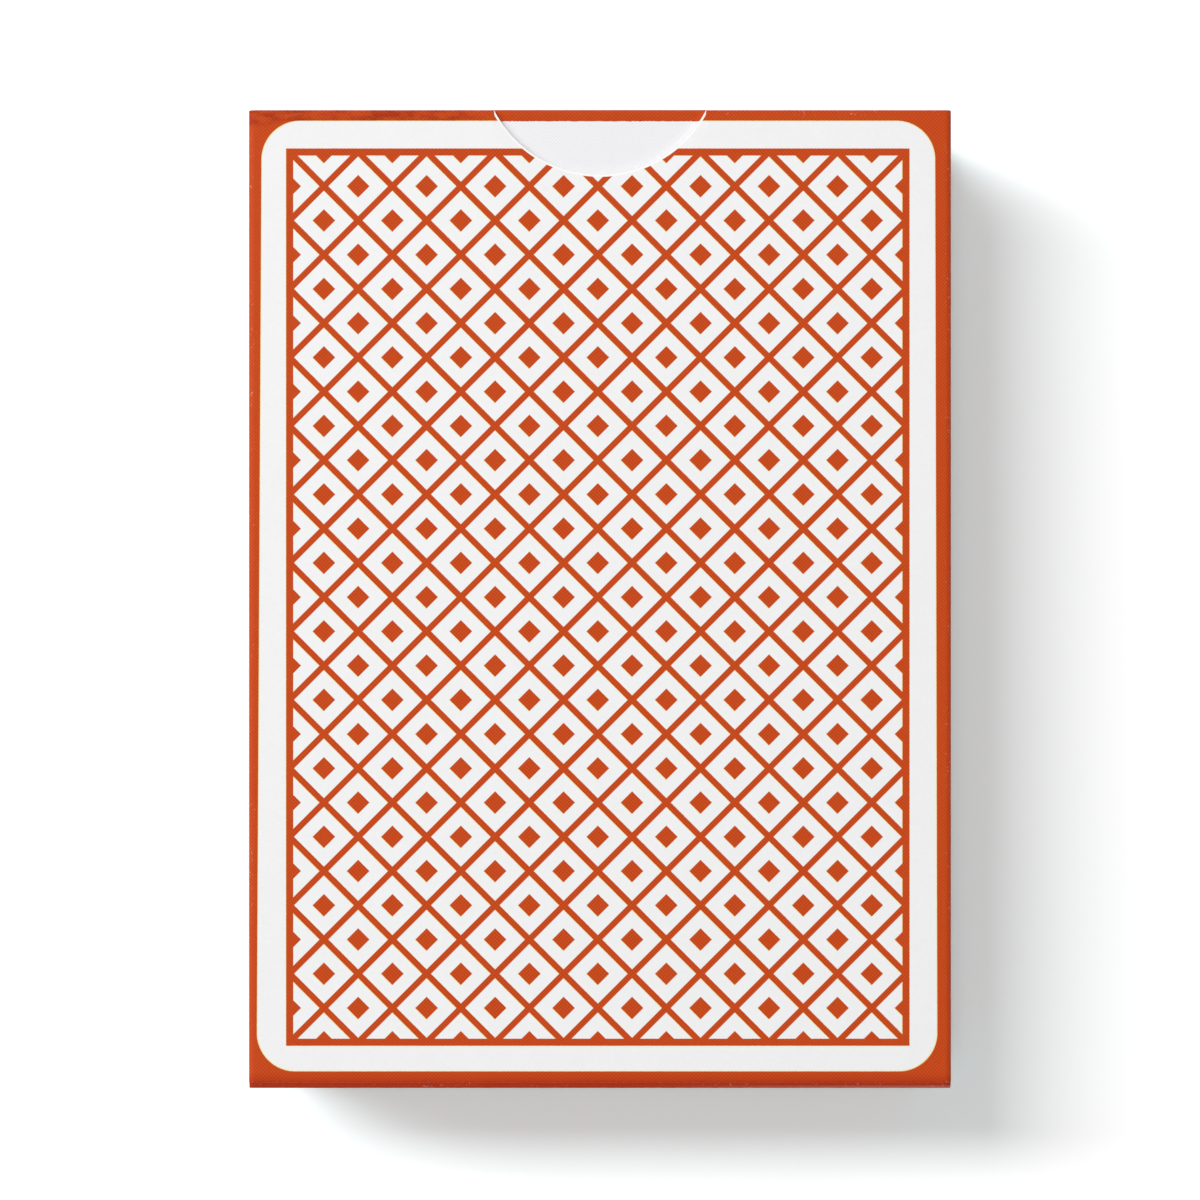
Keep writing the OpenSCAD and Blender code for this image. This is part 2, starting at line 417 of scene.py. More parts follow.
def inkedBoard():
    # varnished board with two inks on it, which lie a little apart, with marks of use, a streaky darkening at
    # the lid's edge, and painted shade and a painted reflection at the base fold
    material, place = newMaterial("printed_board")
    x, y, z = place.parts()
    cloud, mottle, grain, waves = noises(place, "cloud", "mottle", "grain", "waves")
    ragged, specks, patches = noises(place, "ragged", "specks", "patches")
    streaks = place.stretch(caseWearAndShade["smudgeStretch"]).noise(*paperNoise["streaks"])

    def nearWall(value, half):
        return abs(value).ramp(half - caseWearAndShade["foldBand"][0], half - caseWearAndShade["foldBand"][1])

    nearFace = nearWall(z - case["depth"] / 2, case["depth"] / 2)
    nearSide, nearEnd = nearWall(x, case["halfW"]), nearWall(y, case["lidY"])
    onFront = z.ramp(*caseWearAndShade["frontZ"])
    edge = (ragged - 0.5) * casePrint["ragged"]
    red = platePrint(x + edge, y + edge)
    yellow = platePrint(x + edge, y + edge, casePrint["shift"], casePrint["spread"])
    paper = (grain * 0.3 + cloud * 0.3 + mottle * 0.4).mix(*casePrint["paper"])
    dots = halftone(x, y, casePrint["screen"]) * nearFace
    colour = layInk(paper, red, (yellow * casePrint["fringe"]).max(red), dots, cloud, mottle)

    marked = red * onFront  # inked parts of the front
    # streaky darkening at one end of the lid's edge
    streakArea = (y + cloud * caseWearAndShade["smudgeWander"]).ramp(*caseWearAndShade["smudgeY"]) * x.ramp(*caseWearAndShade["smudgeX"])
    darkStreaks = streakArea * streaks.ramp(*caseWearAndShade["smudgeStreaks"])
    colour = (marked * darkStreaks).mix(colour, caseWearAndShade["smudgeInk"], "MULTIPLY")
    wander = (mottle - 0.5) * caseWearAndShade["wander"]
    # painted shade: a dark line along the base fold
    crease = abs(y - caseWearAndShade["creaseY"] + wander).ramp(*caseWearAndShade["creaseLine"]) * caseWearAndShade["creaseShare"]
    colour = (marked * crease).mix(colour, caseWearAndShade["creaseInk"], "MULTIPLY")
    # painted shade: the front darkens towards the base fold
    colour = (marked * (y + wander).ramp(*caseWearAndShade["shadeY"])).mix(colour, caseWearAndShade["shadeInk"], "MULTIPLY")
    # painted reflection: a paler strip on the base fold, mixed towards the paper
    foldReflection = y.ramp(*caseWearAndShade["rubbedY"]) * x.ramp(*caseWearAndShade["rubbedX"]) * onFront
    colour = (foldReflection * caseWearAndShade["rubbedShare"]).mix(colour, paper)
    onFold = (nearSide * nearFace).max(nearEnd * nearFace).max(nearSide * nearEnd)
    specked = onFold * specks.ramp(*caseWearAndShade["specks"]) * patches.ramp(*caseWearAndShade["speckPatches"])
    colour = (specked * caseWearAndShade["speckShare"]).mix(colour, paper)

    rough = casePrint["rough"] - red * casePrint["inkSmooth"]
    rough = rough + (grain - 0.5) * casePrint["roughGrain"] + (cloud - 0.5) * casePrint["roughCloud"]
    relief = bump(grain * 0.5 + waves * 0.9 + red * 0.25, casePrint["relief"])
    gloss = casePrint["gloss"]
    return dress(material, baseColor=colour, roughness=rough, normal=relief, specularIORLevel=gloss)


plainBoard = {
    "inside": (srgb(214, 210, 202), srgb(236, 233, 227)),  # darkest and palest fibres of the uncoated inside
    "insideStretch": (1.0, 0.25, 1.0),
    "insideRough": 0.78,
    "insideGloss": 0.3,
    "insideRelief": 0.012,
    "cut": (srgb(244, 243, 240), srgb(255, 255, 254)),  # and of a cut edge
    "cutRough": 0.8,
    "cutRelief": 0.02,
    "roughBy": 0.2,  # how far the fibres vary the roughness
}


def rawBoard():
    # uncoated inside of the board, with short fibres along the case
    material, place = newMaterial("raw_board")
    fibre = place.stretch(plainBoard["insideStretch"]).noise(*paperNoise["fibres"])
    stains = place.noise(*paperNoise["stains"])
    colour = (fibre * 0.7 + stains * 0.3).mix(*plainBoard["inside"])
    rough = plainBoard["insideRough"] + (fibre - 0.5) * plainBoard["roughBy"]
    relief = bump(fibre, plainBoard["insideRelief"])
    gloss = plainBoard["insideGloss"]
    return dress(material, baseColor=colour, roughness=rough, normal=relief, specularIORLevel=gloss)


def cutBoard():
    # die-cut edge: white fibres, a little ragged
    material, place = newMaterial("cut_edge")
    fibre = place.noise(*paperNoise["cutFibres"])
    rough = plainBoard["cutRough"] + (fibre - 0.5) * plainBoard["roughBy"]
    relief = bump(fibre, plainBoard["cutRelief"])
    return dress(material, baseColor=fibre.mix(*plainBoard["cut"]), roughness=rough, normal=relief)


tonguePrint = {
    "paper": (srgb(229, 229, 232), srgb(247, 247, 249)),
    "bleedY": case["lidY"] - 1.0,  # where the lid's colour ends, how softly, and how far that wanders
    "bleedSoft": 0.03,
    "bleedWander": 0.16,
    "linen": 0.31,  # pitch of the linen grain
    "rough": 0.5,
    "inkSmooth": 0.04,
    "roughGrain": 0.16,
    "gloss": 0.06,
    "relief": 0.008,
}


def linen(first, second, pitch):
    # crossed threads of that pitch, from 0 to 1: a product of two sines
    turn = 2 * np.pi / pitch
    return (first * turn).math("SINE") * (second * turn).math("SINE") * 0.5 + 0.5


def tongueBoard():
    # white face with a linen grain, and the lid's colour round the fold
    material, place = newMaterial("tongue_face")
    x, y = place.parts()[:2]
    cloud, mottle, grain, bleed = noises(place, "cloud", "mottle", "grain", "bleed")
    weave = linen(x, y, tonguePrint["linen"])
    wander = (bleed - 0.5) * tonguePrint["bleedWander"]
    bleedY, soft = tonguePrint["bleedY"], tonguePrint["bleedSoft"]
    ink = (y + wander).ramp(bleedY - soft, bleedY + soft)
    paper = (weave * 0.7 + grain * 0.3).mix(*tonguePrint["paper"])
    colour = layInk(paper, ink, ink, halftone(x, y, casePrint["screen"]), cloud, mottle)
    rough = tonguePrint["rough"] - ink * tonguePrint["inkSmooth"] + (grain - 0.5) * tonguePrint["roughGrain"]
    relief = bump(weave * 0.6 + grain * 0.4, tonguePrint["relief"])
    gloss = tonguePrint["gloss"]
    return dress(material, baseColor=colour, roughness=rough, normal=relief, specularIORLevel=gloss)


printed, raw, cut = inkedBoard(), rawBoard(), cutBoard()
print("materials of the board made")


# Case sleeve

sleeve = {
    "notchR": 11.1,
    "notchDepth": 6.07,
    "notchLine": 0.19,  # width and depth of the bright line along the notch's cut edge
    "notchLineDepth": 0.025,
    "edgeLine": 0.06,  # and along the other cut edges
    "lineDepth": 0.08,
    "seamLine": 0.002,  # and where another sheet goes on from this one
    "backRootY": creaseAxis["lid_hinge"][1] - 1.0,  # where the lid's sheet starts on the back panel
    "flapRootY": flapLow[1] - 0.75,  # where a dust flap's sheet starts on its side wall
    "sideTopY": flapLow[1] - 0.05,
    "foldSteps": 8,
    "rows": 40,
}


def sleeveSurface():
    # The board runs round a rectangle through the folds' middles. A column is a point of that rectangle and
    # an angle, with the board's middle midR away along the angle. Rows go up the outside, over the cut edge,
    # down the inside and back under the other cut edge, so that the grid closes on itself both ways.
    halfX, low, high = case["halfW"] - case["foldR"], case["foldR"], case["depth"] - case["foldR"]
    notchHalf = np.sqrt(sleeve["notchR"] ** 2 - (sleeve["notchR"] - sleeve["notchDepth"]) ** 2)
    frontX = runs(  # closest together at the notch's ends
        -halfX, 1, -halfX + 0.15, 10, -notchHalf - 0.3, 3, -notchHalf, 14, 1 - notchHalf, 44,
        notchHalf - 1, 14, notchHalf, 3, notchHalf + 0.3, 10, halfX - 0.15, 1, halfX,
    )
    backX = runs(halfX, 1, halfX - 0.05, 1, halfX - 0.2, 12, 0.2 - halfX, 1, 0.05 - halfX, 1, -halfX)
    flapHi, flapLo, step = flapHigh[2], flapLow[2], 0.02
    wallZ = runs(  # with steps at a dust flap's two edges
        high, 1, high - 0.05, 2, flapHi + step, 1, flapHi - step, 1, flapHi - 0.2, 8,
        flapLo + 0.2, 1, flapLo + step, 1, flapLo - step, 1, low,
    )
    turn = np.linspace(0, np.pi / 2, sleeve["foldSteps"] + 1)[1:-1]
    sides = [  # rectangle's x and z, angle
        (frontX, high, np.pi / 2),
        (halfX, high, np.pi / 2 - turn),
        (halfX, wallZ, 0),
        (halfX, low, -turn),
        (backX, low, -np.pi / 2),
        (-halfX, low, -np.pi / 2 - turn),
        (-halfX, wallZ[::-1], -np.pi),
        (-halfX, high, -np.pi - turn),
    ]
    columns = [np.broadcast_arrays(*map(np.atleast_1d, side)) for side in sides]
    x, z, angle = (np.concatenate(values) for values in zip(*columns))
    group = np.repeat(np.arange(len(columns)), [len(column[0]) for column in columns])
    onFront = np.isin(group, (0, 1, 7)) | (z > high - 1e-6)
    onFlap = np.isin(group, (2, 6)) & (z > flapLo) & (z < flapHi)
    onBackRoot = (group == 4) & (abs(x) < halfX - 0.01)
    inNotch = (group == 0) & (abs(x) < notchHalf)
    reach = np.clip(abs(x) / sleeve["notchR"], 0, 0.999)
    arc = case["lidY"] + sleeve["notchR"] - sleeve["notchDepth"] - sleeve["notchR"] * np.sqrt(1 - reach**2)
    top = np.select(
        [inNotch, onFront, onFlap, onBackRoot],
        [arc, case["lidY"], sleeve["flapRootY"], sleeve["backRootY"]],
        sleeve["sideTopY"],
    )
    bottom = np.where(onFront, case["baseY"] + case["foldR"], case["baseY"] + boardT)
    steep = 1 / np.sqrt(1 - reach**2)  # the line keeps its width across the notch's slope
    topLine = np.select(
        [inNotch, onFlap | onBackRoot],
        [sleeve["notchLine"] * steep, sleeve["seamLine"]],
        sleeve["edgeLine"],
    )
    bottomLine = np.where(onFront, sleeve["seamLine"], sleeve["edgeLine"])
    up = np.linspace(0, 1, sleeve["rows"])[:, None]
    outer = bottom + bottomLine + (top - topLine - bottom - bottomLine) * up

    def level(value):
        return np.broadcast_to(value, (1, len(x)))

    y = np.concatenate([outer, level(top), level(top), outer[::-1], level(bottom), level(bottom)])
    depth = np.select(
        [inNotch, topLine > sleeve["seamLine"]],
        [sleeve["notchLineDepth"], sleeve["lineDepth"]],
        sleeve["seamLine"],
    )
    depthLow = np.where(bottomLine > sleeve["seamLine"], sleeve["lineDepth"], sleeve["seamLine"])
    half = boardT / 2
    offset = np.concatenate([
        np.full(outer.shape, half), level(half - depth), level(depth - half),
        np.full(outer.shape, -half), level(depthLow - half), level(half - depthLow),
    ])
    rise = np.clip(1 - (y / (case["baseY"] + case["foldR"])) ** 2, 0, 1) * (1 - (x / halfX) ** 2)
    radius = case["midR"] + offset + case["crown"] * rise * np.maximum(np.sin(angle), 0)
    points = np.stack([x + radius * np.cos(angle), y, z + radius * np.sin(angle)], -1)
    rows, cols = y.shape
    rowSlots = np.repeat([0, 2, 1, 2], [sleeve["rows"] - 1, 3, sleeve["rows"] - 1, 3])
    return points.reshape(-1, 3), gridFaces(rows, cols, True), np.repeat(rowSlots, cols)


sleevePiece = makePiece("sleeve", *sleeveSurface(), [printed, raw, cut])
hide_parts("case_sleeve")
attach(sleevePiece, "case")
print("sleeve made")


# Flaps folded from the sleeve

def plainOutline(half, step, stepAt):
    # straight sides that step out or in past one length
    def edges(along, path, inset):
        wide = half - inset + step * np.clip((along - stepAt) / case["shoulder"], 0, 1)
        return -wide, wide
    return edges


def roundedReach(past, radius, inset):
    # half width of a round corner's circle at a distance past its middle
    return np.sqrt(np.maximum((radius - inset) ** 2 - np.maximum(past, 0) ** 2, 0))


foldHalf = case["halfW"] - 0.01  # a hair inside the sleeve's sides
base = {
    "halfW": foldHalf,  # at the fold
    "step": foldHalf - baseHigh[0],  # how far the panel's sides stand back below the fold
    "stepAt": 0.1,  # how far below the fold
    "columns": 24,
}


def baseSheet():
    # from the front panel round the base fold and down over the base
    fold = case["midR"] * np.pi / 2
    length = fold + case["depth"] - boardT / 2 - case["midR"]
    edge = case["halfW"] - case["foldR"]
    x = runs(-base["halfW"], 5, -edge, 1, 0.2 - edge, base["columns"], edge - 0.2, 1, edge, 5, base["halfW"])
    stepAt = fold + base["stepAt"]
    return {
        "along": runs(0, 10, fold, 1, stepAt, 3, stepAt + case["shoulder"], 10, length),
        "across": (x + base["halfW"]) / (2 * base["halfW"]),
        "fold": (0.0, case["midR"], np.pi / 2),
        "freeEnds": (0, 1),
        "outline": plainOutline(base["halfW"], -base["step"], stepAt),
        "axes": [(0, -1, 0), (0, 0, -1), (1, 0, 0)],
        "origin": (0, case["baseY"] + case["foldR"], case["depth"] - boardT / 2),
    }


def dropCorners(points):
    # the base fold's ends bend down with the long folds beside it: a quarter round across, fading downwards
    edge, high = case["halfW"] - case["foldR"], case["depth"] - case["foldR"]
    over = np.clip((abs(points[:, 0]) - edge) / case["foldR"], 0, 1)
    share = np.clip((points[:, 2] - high) / case["foldR"], 0, 1)
    points[:, 2] -= share * case["foldR"] * (1 - np.sqrt(1 - over**2))
    return points


basePoints, baseFaces, baseSlots = sheetSolid(baseSheet(), boardT, case["chamfer"])
basePiece = makePiece("base_panel", dropCorners(basePoints), baseFaces, baseSlots, [printed, raw, cut])
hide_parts("base_closure")
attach(basePiece, "case")

innerFlap = {
    "reach": 14.0,
    "cornerR": 2.0,
    "fromFold": 0.1,  # how far its sides stand back from the long folds
}


def baseFlapSheet(side):
    # flap glued under the base panel, from its side wall inwards
    low, high = case["foldR"] + innerFlap["fromFold"], case["depth"] - case["foldR"] - innerFlap["fromFold"]
    straight = innerFlap["reach"] - innerFlap["cornerR"]

    def edges(along, path, inset):
        cutIn = innerFlap["cornerR"] - roundedReach(along - straight, innerFlap["cornerR"], inset)
        return low + cutIn, high - cutIn

    return {
        "along": runs(0, 4, straight, 6, innerFlap["reach"]),
        "across": np.linspace(0, 1, 3),
        "fold": (innerFlap["reach"], 1.0, 0.0),
        "freeEnds": (0, 1),
        "outline": edges,
        "axes": [(-side, 0, 0), (0, 1, 0), (0, 0, 1)],
        "origin": (side * (case["halfW"] - boardT), case["baseY"] + 1.5 * boardT, 0),
    }


for side, sideName in ((-1, "left"), (1, "right")):
    flapSolid = sheetSolid(baseFlapSheet(side), boardT, case["chamfer"])
    flapPiece = makePiece(f"base_flap_{sideName}", *flapSolid, [printed, raw, cut])
    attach(flapPiece, "case")

seamFlap = {"width": 12.0, "from": boardT * 2 + 0.05}


def seamSheet():
    # the sheet's glued end inside the right wall
    lowY, highY = case["baseY"] + seamFlap["from"], sleeve["flapRootY"]

    def edges(along, path, inset):
        return np.full_like(along, lowY + inset), np.full_like(along, highY - inset)

    return {
        "along": np.linspace(0, seamFlap["width"], 4),
        "across": np.linspace(0, 1, 12),
        "fold": (seamFlap["width"], 1.0, 0.0),
        "freeEnds": (0, 1),
        "outline": edges,
        "axes": [(0, 0, 1), (1, 0, 0), (0, 1, 0)],
        "origin": (case["halfW"] - 1.5 * boardT, 0, case["foldR"]),
    }


seamPiece = makePiece("seam_flap", *sheetSolid(seamSheet(), boardT, case["chamfer"]), [raw, raw, cut])
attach(seamPiece, "case")
print("base and seam made")

lid = {
    "halfW": lidHigh[0],
    "splitZ": 16.0,  # where the lid's sheet gives way to the tongue's
    "bulge": 0.11,  # how far the lid stands out at its front fold
    "bulgeFrom": 9.0,  # height at which that starts, and over which it grows
    "bulgeOver": 8.0,
    "planeY": case["lidY"] - 0.7,  # it takes in only what lies past this, and all past planeDepth more
    "planeDepth": 0.3,
}


def bulgeLid(points):
    # pushed out by the square of the height up the lid, only near the lid's plane
    up = np.clip((points[:, 2] - lid["bulgeFrom"]) / lid["bulgeOver"], 0, 1) ** 2
    near = np.clip((points[:, 1] - lid["planeY"]) / lid["planeDepth"], 0, 1)
    points[:, 1] += lid["bulge"] * up * near * near * (3 - 2 * near)
    return points


def lidSheet():
    # from the back panel round its crease and up to the tongue's sheet
    axis, radius = creaseAxis["lid_hinge"], case["creaseR"]
    first = axis[1] - radius - sleeve["backRootY"]
    bend = first + radius * np.pi / 2
    backHalf = case["halfW"] - case["foldR"]
    return {
        "along": runs(0, 3, first, 10, bend, 2, bend + 0.4, 12, bend + lid["splitZ"] - axis[2] - radius),
        "across": runs(0, 1, 0.004, 24, 0.996, 1, 1),
        "fold": (first, radius, np.pi / 2),
        "freeEnds": (0, 0),
        "outline": plainOutline(backHalf, lid["halfW"] - backHalf, first / 2),
        "axes": [(0, 1, 0), (0, 0, 1), (1, 0, 0)],
        "origin": (0, sleeve["backRootY"], axis[2]),
    }


lidPoints, lidFaces, lidSlots = sheetSolid(lidSheet(), boardT, case["chamfer"])
lidPiece = makePiece("lid_panel", bulgeLid(lidPoints), lidFaces, lidSlots, [printed, raw, cut])
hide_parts("lid")
lidAxis = creaseAxis["lid_hinge"]
Vector((0, lidAxis[1] - case["creaseReach"], lidAxis[2])) * mm
Vector((0, lidAxis[1], lidAxis[2] + case["creaseReach"])) * mm
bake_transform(lidPiece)

tongue = {
    "halfW": tongueHigh[0],
    "length": 9.5,
    "cornerR": 6.0,
    "lean": np.radians(4.35),  # how far its tip leans towards the deck
    "stepBefore": 0.1,  # where its sides step in, before the crease
}


def tongueSheet():
    # from the lid round the front crease and back behind the front panel, with round free corners
    axis, radius = creaseAxis["tongue_fold"], case["creaseR"]
    turn = np.pi / 2 + tongue["lean"]
    first = axis[2] - radius - lid["splitZ"]
    bend = first + radius * turn
    length = bend + tongue["length"] - radius

    def edges(along, path, inset):
        past = along - (length - tongue["cornerR"])
        before = np.clip((first - tongue["stepBefore"] - along) / case["shoulder"], 0, 1)
        wide = tongue["halfW"] - tongue["cornerR"] + roundedReach(past, tongue["cornerR"], inset)
        wide = wide + (lid["halfW"] - tongue["halfW"]) * before
        return -wide, wide

    tip = length - tongue["cornerR"] * (1 - np.sin(np.linspace(0, np.pi / 2, 17)))
    toTip = runs(0, 2, first - 0.3, 6, first, 10, bend, 2, bend + 0.3, 4, tip[0])
    return {
        "along": np.concatenate([toTip[:-1], tip]),
        "across": runs(0, 1, 0.003, 32, 0.997, 1, 1),
        "fold": (first, radius, turn),
        "freeEnds": (0, 1),
        "outline": edges,
        "axes": [(0, 0, 1), (0, -1, 0), (1, 0, 0)],
        "origin": (0, axis[1], lid["splitZ"]),
    }


tonguePoints, tongueFaces, tongueSlots = sheetSolid(tongueSheet(), boardT, case["chamfer"])
tongueFaced = [tongueBoard(), raw, cut]
tonguePiece = makePiece("tongue_panel", bulgeLid(tonguePoints), tongueFaces, tongueSlots, tongueFaced)
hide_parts("tuck_tongue")
tongueAxis = creaseAxis["tongue_fold"]
Vector((0, tongueAxis[1], tongueAxis[2] - case["creaseReach"])) * mm
Vector((0, tongueAxis[1] - case["creaseReach"], tongueAxis[2])) * mm
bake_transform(tonguePiece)
print("lid and tongue made")

dustFlap = {
    "reach": 11.5,
    "cornerR": 3.0,
    "backSlope": 0.5,  # how its back and front edges slope to its tip
    "frontSlope": 0.16,
}


def slopedEdge(out, slope, inset):
    # rise of a sloping edge above its root, rounded into the tip by a circle that touches both
    radius, centre = dustFlap["cornerR"] - inset, dustFlap["reach"] - dustFlap["cornerR"]
    secant = np.sqrt(1 + slope**2)
    line = slope * np.maximum(out, 0) + inset * secant
    middle = slope * centre + dustFlap["cornerR"] * secant
    rounded = middle - np.sqrt(np.maximum(radius**2 - (out - centre) ** 2, 0))
    return np.where(out > centre + radius * slope / secant, rounded, line)


def dustSheet(side):
    # from the side wall round its crease and inwards under the lid
    axis, radius = creaseAxis["left_flap_fold"], case["creaseR"]
    first = axis[1] - radius - sleeve["flapRootY"]
    bend = first + radius * np.pi / 2
    length = bend + dustFlap["reach"] - radius

    def edges(along, path, inset):
        low = flapLow[2] + slopedEdge(path[:, 1], dustFlap["backSlope"], inset)
        high = flapHigh[2] - slopedEdge(path[:, 1], dustFlap["frontSlope"], inset)
        return low, high

    tip = length - dustFlap["cornerR"] * (1 - np.sin(np.linspace(-0.5, np.pi / 2, 20)))
    toTip = runs(0, 3, first, 10, bend, 2, bend + 0.3, 6, tip[0])
    return {
        "along": np.concatenate([toTip[:-1], tip]),
        "across": runs(0, 1, 0.02, 10, 0.98, 1, 1),
        "fold": (first, radius, np.pi / 2),
        "freeEnds": (0, 1),
        "outline": edges,
        "axes": [(0, 1, 0), (-side, 0, 0), (0, 0, 1)],
        "origin": (side * (case["halfW"] - boardT / 2), sleeve["flapRootY"], 0),
    }


for side, sideName in ((-1, "left"), (1, "right")):
    flapSolid = sheetSolid(dustSheet(side), boardT, case["chamfer"])
    flapPiece = makePiece(f"dust_flap_{sideName}", *flapSolid, [printed, raw, cut])
    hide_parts(f"{sideName}_dust_flap")
    axis = creaseAxis[f"{sideName}_flap_fold"]
    Vector((axis[0], axis[1] - case["creaseReach"], 0)) * mm
    Vector((axis[0] - side * case["creaseReach"], axis[1], 0)) * mm
    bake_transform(flapPiece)
print("dust flaps made")


# Cards

card = {
    "cornerR": 3.5,
    "edgeSoft": 0.03,
    "jitterX": 0.09,  # how far the cards lie off the deck's middle
    "jitterY": 0.06,
    "seed": 52,
    "linen": 0.5,  # pitch of the linen finish
    "rough": 0.42,
    "relief": 0.006,
    "edge": (srgb(232, 231, 228), srgb(250, 249, 247)),  # darkest and palest fibres of its cut edge
    "edgeRough": 0.7,
    "edgeRelief": 0.02,
    "roughBy": 0.2,  # how far the fibres vary the roughness
}
cardPrint = {
    **casePrint,
    "paper": (srgb(240, 240, 240), srgb(246, 246, 246)),
    "ink": srgb(198, 75, 30),
    "inkShare": 0.97,
    "cell": 5.9,
    "line": 0.6,
    "frameLine": 0.7,
}
blackInk, redInk = srgb(34, 32, 33), srgb(190, 36, 32)
cardFaces = {
    "paper": (srgb(240, 240, 240), srgb(247, 247, 246)),
    "inks": {"spades": blackInk, "diamonds": redInk, "clubs": blackInk, "hearts": redInk},
    "columnX": 13.0,
    "outerY": 27.0,  # heights of the rows of pips in each half
    "tenY": 18.0,
    "sevenY": 13.5,
    "innerY": 9.0,
    "aceSize": 2.2,
    "courtX": 9.0,  # court cards have one to three large pips in each half
    "courtY": (28.0, 19.0, 10.0),
    "courtSize": 1.3,
    "cornerX": 27.6,  # small pip in two corners
    "cornerY": 38.0,
    "cornerSize": 0.5,
    "soft": 0.05,
}


def linenFinish(material, x, y, grain, colour):
    # satin stock with an embossed linen grain along the diagonals
    weave = linen(x + y, x - y, card["linen"])
    rough = card["rough"] + (grain - 0.5) * card["roughBy"]
    return dress(material, baseColor=colour, roughness=rough, normal=bump(weave, card["relief"]))


def cardBack():
    # white stock with the trellis
    material, place = newMaterial("card_back")
    x, y = place.parts()[:2]
    grain = place.noise(*paperNoise["grain"])
    inked = trellis(x, y, cardPrint) * cardPrint["inkShare"]
    colour = inked.mix(grain.mix(*cardPrint["paper"]), cardPrint["ink"])
    return linenFinish(material, x, y, grain, colour)


def pipEdge(suit, u, v):
    # below 0 inside a pip of about 7 mm that points up, made of discs, a wedge or a rhombus, and a stem;
    # the numbers are middles, radii and half widths in millimetres, and slopes
    side = abs(u)

    def disc(middleU, middleV, radius, up):
        return distance(side - middleU, up - middleV) - radius

    def heart(up):
        return disc(1.55, 1.35, 1.75, up).min(((side - (up + 3.7) * 0.72) * 0.8).max(up - 0.9))

    if suit == "diamonds":
        return (side / 3.0 + abs(v) / 3.9 - 1) * 2.4
    if suit == "hearts":
        return heart(v)
    stem = (side - 0.35 + (v + 1.2) * 0.28).max(abs(v + 2.4) - 1.3)
    if suit == "spades":
        return heart(0.5 - v).min(stem)
    return disc(0, 1.75, 1.6, v).min(disc(1.75, -0.75, 1.6, v)).min(stem)


def cardFace(suit=None):
    # white stock with a suit's pips, whose number follows the card's rank; upside down below the middle
    material, place = newMaterial(f"card_face_{suit or 'plain'}")
    x, y = place.parts()[:2]
    grain = place.noise(*paperNoise["grain"])
    colour = grain.mix(*cardFaces["paper"])
    if suit:
        rank = place.node("Attribute", {"attribute_name": "rank"}, output="Fac")
        above = y.math("GREATER_THAN", 0)
        halfY, column = abs(y), abs(x) - cardFaces["columnX"]
        corner = x * (above * 2 - 1)  # seen from below, left is +X
        courtX, courtY, courtSize = (cardFaces[key] for key in ("courtX", "courtY", "courtSize"))

        def ranks(first, last):
            return rank.math("GREATER_THAN", first - 0.5) * rank.math("LESS_THAN", last + 0.5)

        def pip(u, v, shown, size=1.0):
            return pipEdge(suit, u / size, v / size).under(0, cardFaces["soft"] / size) * shown

        pips = [
            pip(column, halfY - cardFaces["outerY"], ranks(4, 10)),
            pip(column, halfY - cardFaces["innerY"], ranks(9, 10)),
            pip(column, y, ranks(6, 8)),
            pip(x, halfY - cardFaces["outerY"], ranks(2, 3)),
            pip(x, halfY - cardFaces["tenY"], ranks(10, 10)),
            pip(x, halfY - cardFaces["sevenY"], (ranks(7, 7) * above).max(ranks(8, 8))),
            pip(x, y, ranks(3, 3) + ranks(5, 5) + ranks(9, 9)),
            pip(x, y, ranks(1, 1), cardFaces["aceSize"]),
            pip(corner - courtX, halfY - courtY[0], ranks(11, 13), courtSize),
            pip(corner + courtX, halfY - courtY[1], ranks(12, 13), courtSize),
            pip(corner - courtX, halfY - courtY[2], ranks(13, 13), courtSize),
            pip(corner - cardFaces["cornerX"], halfY - cardFaces["cornerY"], 1.0, cardFaces["cornerSize"]),
        ]
        ink = pips[0]
        for other in pips[1:]:
            ink = ink.max(other)
        colour = ink.mix(colour, cardFaces["inks"][suit])
    return linenFinish(material, x, y, grain, colour)


def cardEdge():
    # pale fibres of a card's cut edge
    material, place = newMaterial("card_edge")
    fibre = place.noise(*paperNoise["cardFibres"])
    rough = card["edgeRough"] + (fibre - 0.5) * card["roughBy"]
    relief = bump(fibre, card["edgeRelief"])
    return dress(material, baseColor=fibre.mix(*card["edge"]), roughness=rough, normal=relief)


def cardSheet(low, high, move):
    # flat plate with four round corners, centred on its place in the deck
    length, half = high[1] - low[1], (high[0] - low[0]) / 2

    def edges(along, path, inset):
        past = np.maximum(card["cornerR"] - along, along - (length - card["cornerR"]))
        wide = half - card["cornerR"] + roundedReach(past, card["cornerR"], inset)
        return -wide, wide

    end = card["cornerR"] * (1 - np.cos(np.linspace(0, np.pi / 2, 7)))
    return {
        "along": np.concatenate([end, [length / 2], length - end[::-1]]),
        "across": np.linspace(0, 1, 3),
        "fold": (length, 1.0, 0.0),
        "freeEnds": (1, 1),
        "outline": edges,
        "axes": [(0, 1, 0), (0, 0, -1), (1, 0, 0)],
        "origin": ((low[0] + high[0]) / 2 + move[0], low[1] + move[1], (low[2] + high[2]) / 2),
    }


